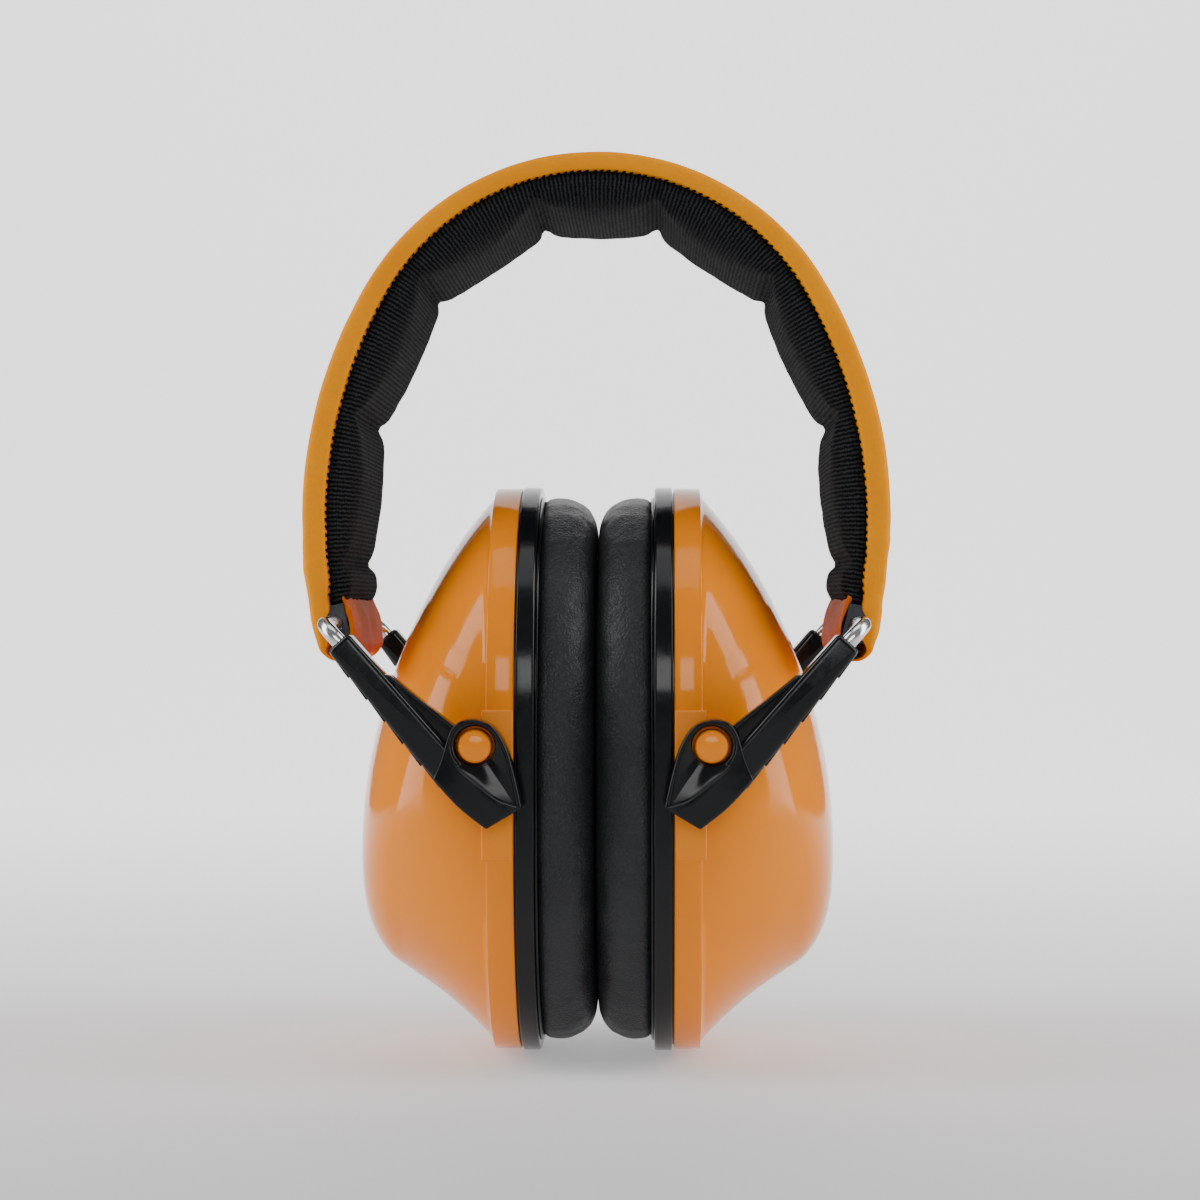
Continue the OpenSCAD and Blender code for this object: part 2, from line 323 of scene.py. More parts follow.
def cover_rings():
    """Rings of the right half of the cover, from the crown down, round the bottom and up the flap."""
    rings = []
    turn_r, skin = 2.9, 0.9
    bottom = BAND_END - turn_r
    n = 120
    for i in range(n + 1):
        s = bottom * i / n
        puff = 0.9 * smoothstep(HEM - 8, HEM + 4, s)
        rings.append(slab_ring(band_point(s, edge(s)), band_point(s, -0.25 * puff), end_width(s), 1.25))
    for k in range(1, 10):
        a = math.pi * k / 10
        along, deep = turn_r * math.sin(a), turn_r * (1 - math.cos(a))
        inner_r = turn_r - skin
        along_i, deep_i = inner_r * math.sin(a), skin + inner_r * (1 - math.cos(a))
        rings.append(slab_ring(band_point(bottom + along_i, deep_i), band_point(bottom + along, deep),
                               end_width(bottom + along), 0.42))
    top = HEM - 1.5
    for i in range(17):
        s = bottom + (top - bottom) * i / 16
        bow = 0.55 * math.sin(math.pi * min(1.0, i / 14))
        rings.append(slab_ring(band_point(s, 2 * turn_r - skin + bow), band_point(s, 2 * turn_r + bow),
                               end_width(s) - 0.8 * smoothstep(bottom, top, s) - 0.4, 0.38))
    return rings


def make_cover():
    right = cover_rings()
    left = [[Vector((-p.x, p.y, p.z)) for p in ring] for ring in right[1:]]
    obj = loft("cover_skin", left[::-1] + right)

    def crumple(p):
        near_end = smoothstep(-40, -66, p.z)
        bumps = noise.noise(p * 0.16 + Vector((3, 1, 7))) * (0.08 + 0.32 * near_end)
        facets = abs(noise.noise(p * 0.21 + Vector((9, 4, 2)))) * near_end * 0.5
        return bumps - facets + noise.noise(p * 0.5) * 0.06 * (0.3 + near_end)

    nudge(obj, crumple)
    smooth = obj.modifiers.new("s", "SUBSURF")
    smooth.levels = smooth.render_levels = 1
    return apply_modifiers(obj)


# ---------------------------------------------------------------- soft pieces, swollen by cloth simulation
def swell(obj, voxel, pressure, cap, pinned, limit=None):
    """Remeshes a closed form, blows it up as cloth where it isn't pinned, and caps how far a point moves.
    The work is done 20 times larger, where the solver's usual masses suit."""
    big = 20.0
    obj.data.transform(Matrix.Scale(big, 4))
    obj.data.remesh_voxel_size = voxel * MM * big
    bpy.context.view_layer.objects.active = obj
    bpy.ops.object.select_all(action="DESELECT")
    obj.select_set(True)
    bpy.ops.object.voxel_remesh()
    for p in obj.data.polygons:
        p.use_smooth = True
    start = [v.co.copy() for v in obj.data.vertices]
    group = obj.vertex_groups.new(name="pin")
    for i, p in enumerate(start):
        w = pinned(p / big / MM)
        if w > 0:
            group.add([i], w, "REPLACE")
    cloth = obj.modifiers.new("cloth", "CLOTH")
    st = cloth.settings
    st.quality = 6
    st.mass = 0.15
    st.tension_stiffness = st.compression_stiffness = 12
    st.shear_stiffness = 4
    st.bending_stiffness = 0.3
    st.use_pressure = True
    st.uniform_pressure_force = pressure
    st.vertex_group_mass = "pin"
    st.effector_weights.gravity = 0
    cloth.collision_settings.use_collision = False
    cloth.collision_settings.use_self_collision = False
    cloth.point_cache.frame_start, cloth.point_cache.frame_end = 1, 20
    scene = bpy.context.scene
    for f in range(1, 21):
        scene.frame_set(f)
    done = obj.evaluated_get(bpy.context.evaluated_depsgraph_get()).data
    moved = [v.co.copy() for v in done.vertices]
    obj.modifiers.remove(cloth)
    scene.frame_set(1)
    far = cap * MM * big
    total = 0.0
    for v, a, b in zip(obj.data.vertices, start, moved):
        d = b - a
        total = max(total, d.length)
        v.co = a + d * (min(d.length, far) / d.length if d.length > 1e-9 else 0)
    print(f"swell {obj.name}: {len(start)} points, furthest {total / big / MM:.2f} mm")
    obj.data.transform(Matrix.Scale(1 / big, 4))
    if limit:
        for v in obj.data.vertices:
            v.co = limit(v.co / MM) * MM
    obj.vertex_groups.clear()
    smooth = obj.modifiers.new("s", "SUBSURF")
    smooth.levels = smooth.render_levels = 1
    return apply_modifiers(obj)


SEAMS = [CROWN_R * math.radians(a) for a in (15.5, 51.3)] + \
    [CROWN_LEN + SIDE_R * (JOIN - math.radians(a)) for a in (14.5, -5.75)]


def seam_gap(s):
    """Distance along the band from s to the nearest sewn channel."""
    return min(abs(abs(s) - m) for m in SEAMS)


def pad_depth(s):
    """How far in the pad reaches at s before it swells: low at the seams, rounded up beside them."""
    d = seam_gap(s)
    rise = math.sqrt(1 - (1 - min(d / 3.0, 1.0)) ** 2)
    full = 5.0 + 2.45 * rise + 0.35 * smoothstep(3, 9, d) - 0.3 * smoothstep(60, 90, abs(s))
    return full - 1.6 * smoothstep(HEM - 2.5, HEM, abs(s))


def band_s(p):
    """The way along the outer face and the depth of a point in space."""
    side = 1 if p.x >= 0 else -1
    x = abs(p.x)
    a = math.atan2(p.z - CROWN_CZ, x)
    if a >= JOIN:
        return side * CROWN_R * (math.pi / 2 - a), CROWN_R - math.hypot(x, p.z - CROWN_CZ)
    a = math.atan2(p.z - SIDE_CZ, x + SIDE_CX)
    return side * (CROWN_LEN + SIDE_R * (JOIN - a)), SIDE_R - math.hypot(x + SIDE_CX, p.z - SIDE_CZ)


def make_pad():
    rings, hw = [], 21.6
    n = 240
    for i in range(n + 1):
        s = -HEM + 2 * HEM * i / n
        deep, back = pad_depth(s), edge(s)
        ring = []
        for y in [hw * (k / 12 - 1) for k in range(25)]:
            ring.append(band_point(s, edge(s) - 0.15, y))
        for y, d in ((hw + 0.45, back + 0.6), (hw + 0.6, back + 1.5),
                     (hw + 0.2, deep - 1.0), (hw - 0.5, deep - 0.3)):
            ring.append(band_point(s, min(d, deep), y))
        for y in [hw * (1 - k / 12) - 1.2 * (1 - k / 12) for k in range(25)]:
            ring.append(band_point(s, deep, y))
        for y, d in ((-hw + 0.5, deep - 0.3), (-hw - 0.2, deep - 1.0),
                     (-hw - 0.6, back + 1.5), (-hw - 0.45, back + 0.6)):
            ring.append(band_point(s, min(d, deep), y))
        rings.append(ring)
    obj = loft("head_pad", rings)

    def pinned(p):
        s, d = band_s(p)
        if d < edge(s) + 0.7 or seam_gap(s) < 0.7 or abs(s) > HEM - 1.0:
            return 1.0
        return 0.0

    obj = swell(obj, 1.25, 3.2, 1.9, pinned)
    # the sewn channels, drawn tight, with small puckers running away from the stitches
    def channels(p):
        s, d = band_s(p)
        g = seam_gap(s)
        move = 0.12 * noise.noise(p * 0.33) + 0.05 * noise.noise(p * 1.1)
        if d > edge(s) + 0.9 and g < 5:
            pucker = noise.noise(Vector((p.y * 0.75, s * 0.12, 4)))
            move += 0.25 * pucker * math.exp(-g / 1.8) - 0.45 * math.exp(-(g / 0.8) ** 2)
        return move

    nudge(obj, channels)
    return obj


def oval_point(angle, hw, hh):
    """A point of an upright, straight-sided oval at the angle's share of it: (y, z, normal)."""
    r = min(hw, hh)
    straight = max(hh - r, 0.0)
    flat = max(hw - r, 0.0)
    quarter = math.pi / 2 * r
    total = 4 * quarter + 4 * straight + 4 * flat
    s = (angle / (2 * math.pi)) % 1.0 * total
    parts = [("line", straight), ("arc", quarter), ("line", 2 * flat), ("arc", quarter),
             ("line", 2 * straight),
             ("arc", quarter), ("line", 2 * flat), ("arc", quarter), ("line", straight)]
    p, head = Vector((hw, 0)), math.pi / 2
    for kind, length in parts:
        if s <= length + 1e-12 or (kind, length) is parts[-1]:
            step = max(0.0, min(s, length))
        else:
            step = length
        if kind == "line":
            p = p + Vector((math.cos(head), math.sin(head))) * step
        elif r > 0:
            centre = p + Vector((-math.sin(head), math.cos(head))) * r
            turn = step / r
            q = p - centre
            p = centre + Vector((q.x * math.cos(turn) - q.y * math.sin(turn),
                                 q.x * math.sin(turn) + q.y * math.cos(turn)))
            head += turn
        s -= length
        if s <= 1e-12:
            break
    normal = Vector((math.sin(head), -math.cos(head)))
    return p.x, p.y, normal


def ring_sweep(name, profile, count=128):
    """Sweeps a closed profile of (x, outwards from the rim) points round the cup's oval."""
    rings = []
    for i in range(count):
        y, z, n = oval_point(2 * math.pi * i / count, CUP_HW, CUP_HH)
        rings.append([Vector((x, y + n.x * o, CUP_Z + z + n.y * o)) for x, o in profile])
    return loft(name, rings, closed=True)


def make_cushion():
    rings = []
    count = 150
    for i in range(count):
        a = 2 * math.pi * i / count
        yo, zo, _ = oval_point(a, CUP_HW - 1.25, CUP_HH - 1.6)
        yi, zi, _ = oval_point(a, EAR_HW + 1.2, EAR_HH + 1.2)
        outer, inner = Vector((yo, zo)), Vector((yi, zi))
        ring = []
        # (depth from the head side, way out from the ear opening), a cushion rounded towards the head
        for x, o in ((8.6, 0.02), (8.6, 0.25), (8.6, 0.5), (8.6, 0.75), (8.6, 0.97),
                     (7.4, 1.0), (5.2, 1.01), (3.4, 0.995), (1.9, 0.96),
                     (0.9, 0.88), (0.5, 0.75), (0.5, 0.6), (0.5, 0.45), (0.5, 0.3), (0.8, 0.15),
                     (1.8, 0.05), (3.6, 0.01), (5.4, 0.0)):
            q = inner.lerp(outer, o)
            ring.append(Vector((CUSHION_X0 + x, q.x, CUP_Z + q.y)))
        rings.append(ring)
    obj = loft("right_ear_cushion", rings, closed=True)

    def pinned(p):
        return 1.0 if p.x > CUSHION_X1 else 0.0

    def limit(p):
        p.x = min(max(p.x, 0.12), CUSHION_X1 + 0.9)
        return p

    obj = swell(obj, 1.6, 2.6, 0.9, pinned, limit)

    def creases(p):
        broad = noise.noise(Vector((p.x * 0.10, p.y * 0.22, p.z * 0.22)) + Vector((5, 2, 9)))
        fine = noise.noise(Vector((p.x * 0.3, p.y * 0.6, p.z * 0.6)))
        return (0.14 * broad + 0.06 * fine) * smoothstep(0.5, 2.0, p.x)

    nudge(obj, creases)
    return obj


# ---------------------------------------------------------------- the ear cup's hard pieces
def make_back_plate():
    x0, x1 = PLATE_X, SHELL_X
    outer = rounded_loop([(x0, -14.0), (x0, 0.0), (x0 + 0.35, 0.18), (x1 - 0.25, 0.18), (x1 - 0.25, -0.7),
                          (x1, -0.7), (x1, -2.7), (x1 + 2.5, -2.7), (x1 + 2.5, -4.4),
                          (x1 - 0.9, -4.4), (x1 - 0.9, -14.0)],
                         [0.3, 0.5, 0.3, 0.3, 0.05, 0.05, 0.1, 0.3, 0.3, 0.5, 0.3], 4)
    return sharp_smooth(ring_sweep("right_plate_ring", outer, 160), 50)


def make_cushion_plate():
    x0, x1 = CUSHION_X1 + 0.45, PLATE_X - 0.05
    loop = rounded_loop([(x0, -13.5), (x0, -2.1), (x0 + 0.2, -1.5), (x1, -1.3), (x1, -13.5)], 0.15, 3)
    return sharp_smooth(ring_sweep("right_cushion_carrier", loop, 128), 50)


def dome_section(t, inset, count):
    """One section of the dome; t is 0 at the rim and 1 at the outermost point."""
    off = 1 - math.sqrt(max(0.0, 1 - t * t))
    late = 1 - math.sqrt(max(0.0, 1 - t ** 10))
    top = CUP_HH - inset - DOME_TOP_SLOPE * t - DOME_TOP_ROUND * off
    bottom = -CUP_HH + inset + DOME_LOW_SLOPE * t + DOME_LOW_ROUND * late
    hw = (CUP_HW - inset) * (1 - DOME_NARROWING * off)
    hh, mid = (top - bottom) / 2, (top + bottom) / 2
    x = DOME_X + t * (DOME_DEPTH - inset)
    scoop = DOME_SCOOP * math.sin(math.pi * min(1.0, t / DOME_SCOOP_END)) if t < DOME_SCOOP_END else 0.0
    ring = []
    for k in range(count):
        y, z, n = oval_point(2 * math.pi * k / count, hw, hh)
        lift = scoop * smoothstep(-0.45, -0.95, z / hh) * (1 - 0.35 * (y / hw) ** 2)
        ring.append(Vector((x, y, CUP_Z + mid + z + lift)))
    return ring


def make_shell():
    count = 160
    step = 0.3

    def oval_ring(x, inset):
        return [Vector((x, y, CUP_Z + z)) for y, z, n in
                (oval_point(2 * math.pi * k / count, CUP_HW - inset, CUP_HH - inset) for k in range(count))]

    rings = [oval_ring(SHELL_X + 1.0, 2.6), oval_ring(SHELL_X + 0.1, 2.6), oval_ring(SHELL_X, 2.4),
             oval_ring(SHELL_X, 0.25), oval_ring(SHELL_X + 0.06, 0.08), oval_ring(SHELL_X + 0.25, 0.0),
             oval_ring(SHELL_X + 2.2, 0.0), oval_ring(SHELL_X + 4.05, 0.05), oval_ring(SHELL_X + 4.25, 0.14)]
    start = (SHELL_X + 4.32 - DOME_X) / DOME_DEPTH
    ts = [start + (1 - start) * math.sin(math.pi / 2 * i / 46) for i in range(47)]
    rings += [dome_section(t, step * (1 - smoothstep(0.0, 0.9, t)), count) for t in ts]
    rings[9] = [p.lerp(q, 0.15) for p, q in zip(rings[9], rings[8])]
    obj = loft("right_cup_dome", rings, caps=False)
    bm = bmesh.new()
    bm.from_mesh(obj.data)
    bm.verts.ensure_lookup_table()
    last = [bm.verts[(len(rings) - 1) * count + k] for k in range(count)]
    centre = bm.verts.new(sum((v.co for v in last), Vector()) / count)
    for k in range(count):
        bm.faces.new((last[k], last[(k + 1) % count], centre))
    bmesh.ops.remove_doubles(bm, verts=bm.verts, dist=2e-6)
    bmesh.ops.recalc_face_normals(bm, faces=bm.faces)
    for f in bm.faces:
        f.smooth = True
    bm.to_mesh(obj.data)
    bm.free()
    return sharp_smooth(obj, 60)


def make_land(sign):
    """The flat land on the side of the cup, under the sleeve's boss."""
    y0, y1 = CUP_HW - 0.6, CUP_HW + 0.26
    top, x0, x1 = TILT.z + 5.2, SHELL_X + 0.12, SHELL_X + 4.9
    low = CUP_Z - (CUP_HH - CUP_HW) - 1
    verts = []
    for y, e, fade in ((y0, 0.0, 0), (y1 - 0.1, 0.0, 0.24), (y1, 0.12, 0.24)):
        verts += [(x0 + e, sign * y, top - e), (x1 - e, sign * y, top - e),
                  (x1 - e, sign * (y - fade), low), (x0 + e, sign * (y - fade), low)]
    faces = [(8, 9, 10, 11)]
    for b in (0, 4):
        faces += [(b + k, b + (k + 1) % 4, b + 4 + (k + 1) % 4, b + 4 + k) for k in range(4)]
    return mesh_object("land", verts, faces, smooth=False)


def make_pegs():
    """The trunnion pegs: round, slightly crowned at the end, on a low collar."""
    out = []
    for sign in (-1, 1):
        profile = [(0.0, 4.35), (0.9, 4.35), (1.0, 2.55), (6.0, 2.55),
                   (6.35, 2.42), (6.6, 2.05), (6.78, 1.3), (6.85, 0.01)]
        rings = []
        for h, r in profile:
            y = sign * (CUP_HW - 0.75 + h)
            rings.append([Vector((TILT.x + r * math.cos(a), y, TILT.z + r * math.sin(a)))
                          for a in (2 * math.pi * k / 40 for k in range(40))])
        out.append(sharp_smooth(loft("peg", rings), 50))
    return out


# ---------------------------------------------------------------- the sleeves
def bar_edge(u):
    """The barrel's outer edge in the leg frame; the barrel bows away from the wire on its way down."""
    return 1.7 + 1.75 * smoothstep(-9, TILT_ALONG + 6, u)


def make_sleeve():
    """The right front sleeve: a grip barrel, a thin fin and a pointed boss with a dished eye."""
    a, o, start = TILT_ALONG, TILT_OFFSET, SLEEVE_START
    y_in, y_out = -SLEEVE_IN, -(SLEEVE_IN + SLEEVE_T)
    low, mid = start + 9, a - 6
    bar = rounded_loop([(start, -2.1), (start, bar_edge(start)), (low, bar_edge(low)), (mid, bar_edge(mid)),
                        (a + 1, bar_edge(a)), (a + 1, -1.6), (mid, -1.65), (low, -1.9)],
                        [0.9, 0.9, 9, 9, 0.9, 0.9, 9, 9], 5)
    parts = [plate("barrel", [bar], y_in, y_out + 0.1, 0.8)]
    fin = [(a - 16.0, -1.2), (a - 16.5, -2.3), (a - 10.5, -3.2), (a - 4.0, o + 0.35), (a - 3.0, -1.0)]
    parts.append(plate("fin", [fin], y_in - 1.5, y_out + 2.1, 0.2))
    rim = [(a - 17.5, -1.7), (a - 16.5, -2.45), (a - 10.5, -3.35), (a - 3.8, o + 0.15), (a - 3.8, o + 0.8),
           (a - 10.3, -2.8), (a - 15.5, -1.9)]
    parts.append(plate("fin_edge", [rim], y_in - 0.8, y_out + 0.9, 0.16))
    # boss: round above the eye, running down to a tail that ends square to the barrel
    boss = smooth_loop([(a - 4.35, o + 0.7), (a - 3.35, o - 2.3), (a - 0.4, o - 4.0),
                        (a + 3.2, o - 3.5), (a + 7.2, o - 1.6),
                        (a + 11.7, o + 1.0, 1), (a + 10.4, bar_edge(a) - 0.75, 1), (a + 5, bar_edge(a) + 0.1),
                        (a - 0.6, bar_edge(a) + 0.1, 1), (a - 1.9, o + 5.2)], 6)
    boss = rounded_loop(boss, 0.45, 3)
    eye = circle_loop(a, o, 3.02, 56)
    bowl = smooth_loop([(a - 3.65, o + 0.2), (a - 2.7, o - 2.1), (a - 0.1, o - 3.3),
                        (a + 3.0, o - 2.85), (a + 6.6, o - 1.2), (a + 10.7, o + 1.35, 1),
                        (a + 8.0, o + 2.7), (a + 4.4, o + 3.3), (a + 0.8, o + 3.75), (a - 2.2, o + 2.8)], 8)
    parts.append(plate("boss", [boss, eye[::-1]], y_in, y_out + 1.1, 0.3))
    parts.append(plate("boss_face", [boss, bowl[::-1]], y_out + 1.9, y_out, 0.42))
    # the dish between the eye and the boss's raised border
    rings = []
    for k in range(7):
        t = k / 6
        ring = []
        for p in bowl:
            q = Vector((a, o)) + (p - Vector((a, o))).normalized() * 3.05
            m = q.lerp(p, t)
            far = (p - q).length
            dip = 0.95 * (1 - t) ** 1.5 * min(1.0, 0.35 + far / 6) + 0.22
            ring.append(HINGE + LEG * m.x + OUTWARD * m.y + Vector((0, y_out + dip, 0)))
        rings.append(ring)
    parts.append(loft("dish", rings, caps=False))
    # grip segments along the outer edge, each stepped up a little at its lower end
    for i in range(6):
        u0 = start + 1.0 + 4.3 * i
        e0, e1 = bar_edge(u0), bar_edge(u0 + 4.1)
        seg = [(u0, e0 - 0.7), (u0, e0 + 0.02), (u0 + 4.1, e1 + 0.26), (u0 + 4.16, e1 - 0.7)]
        parts.append(plate("grip", [seg], y_in - 0.75, y_out + 0.75, 0.12))
    return joined(parts, "right_front_slider")


# ---------------------------------------------------------------- small visual pieces
def make_stitches():
    """The overlocked edge where the knit meets the cover: a row of small dark stitches on both edges."""
    bm = bmesh.new()
    pitch, s = 1.25, -HEM + 1.5
    while s < HEM - 1.5:
        for sign in (-1, 1):
            jitter = random.uniform(-0.12, 0.12)
            c = band_point(s + jitter, edge(s) + 0.05 + random.uniform(-0.1, 0.1), sign * (COVER_HW - 0.75))
            d = (band_point(s, 0) - band_point(s, 1)).normalized()
            t = (band_point(s + 1, 0) - band_point(s - 1, 0)).normalized()
            axis = (d * 0.55 + t).normalized()
            side = axis.cross(Vector((0, 1, 0))).normalized()
            m = Matrix((axis * 0.5, side * 0.22, Vector((0, 1, 0)) * 0.3)).transposed().to_4x4()
            bmesh.ops.create_icosphere(bm, subdivisions=1, radius=MM, matrix=Matrix.Translation(c * MM) @ m)
        s += pitch
    mesh = bpy.data.meshes.new("edge_stitches")
    bm.to_mesh(mesh)
    bm.free()
    for p in mesh.polygons:
        p.use_smooth = True
    obj = bpy.data.objects.new("edge_stitches", mesh)
    bpy.context.collection.objects.link(obj)
    return obj


def make_end_liner():
    """A thin dark stiffener between the bracket and the flap at one end of the band."""
    rings = []
    for i in range(10):
        s = HEM - 2 + (BAND_END - 3.2 - HEM + 2) * i / 9
        rings.append(slab_ring(band_point(s, 4.95), band_point(s, 4.65), 20.5, 0.1, 6))
    return loft("right_end_liner", rings)


# ---------------------------------------------------------------- materials
def material(name):
    mat = bpy.data.materials.new(name)
    mat.use_nodes = True
    tree = mat.node_tree
    tree.nodes.clear()
    out = tree.nodes.new("ShaderNodeOutputMaterial")
    bsdf = tree.nodes.new("ShaderNodeBsdfPrincipled")
    tree.links.new(bsdf.outputs[0], out.inputs[0])
    return mat, tree, bsdf


def node(tree, kind, inputs=None, **settings):
    n = tree.nodes.new(kind)
    for k, v in settings.items():
        setattr(n, k, v)
    for k, v in (inputs or {}).items():
        if isinstance(v, bpy.types.NodeSocket):
            tree.links.new(v, n.inputs[k])
        else:
            n.inputs[k].default_value = v
    return n


def ramp(tree, fac, stops):
    n = node(tree, "ShaderNodeValToRGB", {"Fac": fac})
    e = n.color_ramp.elements
    while len(e) < len(stops):
        e.new(0.5)
    for el, (p, c) in zip(e, stops):
        el.position = p
        el.color = (*c, 1) if isinstance(c, tuple) else (c, c, c, 1)
    return n.outputs["Color"]


def coords(tree):
    """Object coordinates, which are the row frame in metres for every piece."""
    return node(tree, "ShaderNodeTexCoord").outputs["Object"]


def bump(tree, height, strength, distance, normal=None):
    ins = {"Height": height, "Strength": strength, "Distance": distance}
    if normal is not None:
        ins["Normal"] = normal
    return node(tree, "ShaderNodeBump", ins).outputs["Normal"]


def gloss_plastic(name, colour, dark, rough=0.16, grain=0.0, coat=0.6):
    mat, tree, b = material(name)
    at = coords(tree)
    broad = node(tree, "ShaderNodeTexNoise", {"Vector": at, "Scale": 60.0, "Detail": 3.0})
    fine = node(tree, "ShaderNodeTexNoise", {"Vector": at, "Scale": 1400.0, "Detail": 4.0})
    scuffs = node(tree, "ShaderNodeTexNoise", {"Vector": at, "Scale": 380.0, "Detail": 8.0, "Roughness": 0.7})
    tree.links.new(ramp(tree, broad.outputs["Fac"], [(0.3, dark), (0.7, colour)]), b.inputs["Base Color"])
    tree.links.new(ramp(tree, scuffs.outputs["Fac"], [(0.45, rough), (0.75, rough + 0.14)]),
                   b.inputs["Roughness"])
    wave = bump(tree, broad.outputs["Fac"], 0.05, 0.0006)
    tree.links.new(bump(tree, fine.outputs["Fac"], 0.04 + grain, 0.00008, wave), b.inputs["Normal"])
    b.inputs["Coat Weight"].default_value = coat
    b.inputs["Coat Roughness"].default_value = 0.06
    b.inputs["IOR"].default_value = 1.36
    return mat


def leather(name, colour, dark, scale, depth, rough, shine, ior, flap_shade_colour=None):
    """Coated fabric with a pebble grain, softly mottled; given a flap colour, the turned-in flap gets painted
    shade.
    """
    mat, tree, b = material(name)
    at = coords(tree)
    warp = node(tree, "ShaderNodeTexNoise", {"Vector": at, "Scale": scale * 0.4, "Detail": 2.0})
    mix = node(tree, "ShaderNodeVectorMath", {0: warp.outputs["Color"], 1: (0.0012, 0.0012, 0.0012), 2: at},
               operation="MULTIPLY_ADD")
    cells = node(tree, "ShaderNodeTexVoronoi", {"Vector": mix.outputs["Vector"], "Scale": scale},
                 feature="DISTANCE_TO_EDGE")
    cell_h = ramp(tree, cells.outputs["Distance"], [(0.0, 0.0), (0.22, 0.8), (0.6, 1.0)])
    fine = node(tree, "ShaderNodeTexNoise", {"Vector": at, "Scale": scale * 3, "Detail": 4.0})
    folds = node(tree, "ShaderNodeTexNoise", {"Vector": at, "Scale": 110.0, "Detail": 3.0, "Distortion": 0.6})
    tint = ramp(tree, folds.outputs["Fac"], [(0.3, dark), (0.65, colour)])
    # painted shade: the turned-in flap's inner face is mixed towards a darker orange where the flap attribute
    # is set
    if flap_shade_colour:
        flap_shade = node(tree, "ShaderNodeAttribute", attribute_name="flap_shade")
        tint = node(tree, "ShaderNodeMixRGB", {"Fac": flap_shade.outputs["Fac"], "Color1": tint,
                                               "Color2": (*flap_shade_colour, 1)}).outputs["Color"]
    tree.links.new(tint, b.inputs["Base Color"])
    tree.links.new(ramp(tree, fine.outputs["Fac"], [(0.3, rough - 0.06), (0.7, rough + 0.1)]),
                   b.inputs["Roughness"])
    n = bump(tree, folds.outputs["Fac"], 0.25, 0.0006)
    n = bump(tree, cell_h, depth, 0.00016, n)
    n = bump(tree, fine.outputs["Fac"], depth * 0.4, 0.00006, n)
    tree.links.new(n, b.inputs["Normal"])
    b.inputs["Specular IOR Level"].default_value = shine
    b.inputs["IOR"].default_value = ior
    return mat


def knit_material():
    """Black rib knit: fine ribs across the band, loops along each rib, and a fuzz of loose fibre."""
    mat, tree, b = material("rib_knit")
    at = node(tree, "ShaderNodeAttribute", attribute_name="knit_uv").outputs["Vector"]
    obj = coords(tree)
    ribs = node(tree, "ShaderNodeTexWave",
                {"Vector": at, "Scale": 0.42, "Distortion": 2.6, "Detail": 3.0, "Detail Scale": 2.2},
                wave_type="BANDS", bands_direction="X")
    loops = node(tree, "ShaderNodeTexWave",
                 {"Vector": at, "Scale": 0.50, "Distortion": 3.0, "Detail": 2.0, "Detail Scale": 2.0},
                 wave_type="BANDS", bands_direction="Y")
    fuzz = node(tree, "ShaderNodeTexNoise",
                {"Vector": obj, "Scale": 2300.0, "Detail": 6.0, "Roughness": 0.75})
    soft = node(tree, "ShaderNodeMath", {0: loops.outputs["Fac"], 1: 0.45, 2: 0.55}, operation="MULTIPLY_ADD")
    weave = node(tree, "ShaderNodeMath", {0: ribs.outputs["Fac"], 1: soft.outputs[0]}, operation="MULTIPLY")
    height = node(tree, "ShaderNodeMath", {0: weave.outputs[0], 1: fuzz.outputs["Fac"]}, operation="ADD")
    tree.links.new(ramp(tree, height.outputs[0],
                        [(0.3, (0.001, 0.0012, 0.0014)), (0.9, (0.0055, 0.0065, 0.007)),
                                                  (1.0, (0.03, 0.033, 0.035))]), b.inputs["Base Color"])
    tree.links.new(ramp(tree, fuzz.outputs["Fac"], [(0.3, 0.85), (0.7, 1.0)]), b.inputs["Roughness"])
    n = bump(tree, weave.outputs[0], 0.55, 0.0004)
    tree.links.new(bump(tree, fuzz.outputs["Fac"], 0.8, 0.0003, n), b.inputs["Normal"])
    b.inputs["Specular IOR Level"].default_value = 0.08
    b.inputs["Sheen Weight"].default_value = 0.03
    b.inputs["Sheen Roughness"].default_value = 0.5
    b.inputs["Sheen Tint"].default_value = (0.5, 0.52, 0.55, 1)
    return mat


def steel(name, colour, rough, brushed):
    mat, tree, b = material(name)
    at = coords(tree)
    stretch = node(tree, "ShaderNodeMapping",
                   {"Vector": at, "Scale": (1.0, 0.06, 1.0) if brushed else (1, 1, 1)})
    lines = node(tree, "ShaderNodeTexNoise", {"Vector": stretch.outputs[0], "Scale": 3000.0, "Detail": 4.0})
    stain = node(tree, "ShaderNodeTexNoise", {"Vector": at, "Scale": 260.0, "Detail": 5.0})
    dull = tuple(c * 0.72 for c in colour)
    tree.links.new(ramp(tree, stain.outputs["Fac"], [(0.35, dull), (0.65, colour)]), b.inputs["Base Color"])
    tree.links.new(ramp(tree, lines.outputs["Fac"], [(0.3, rough), (0.7, rough + 0.16)]),
                   b.inputs["Roughness"])
    tree.links.new(bump(tree, lines.outputs["Fac"], 0.12, 0.00005), b.inputs["Normal"])
    b.inputs["Metallic"].default_value = 1.0
    return mat


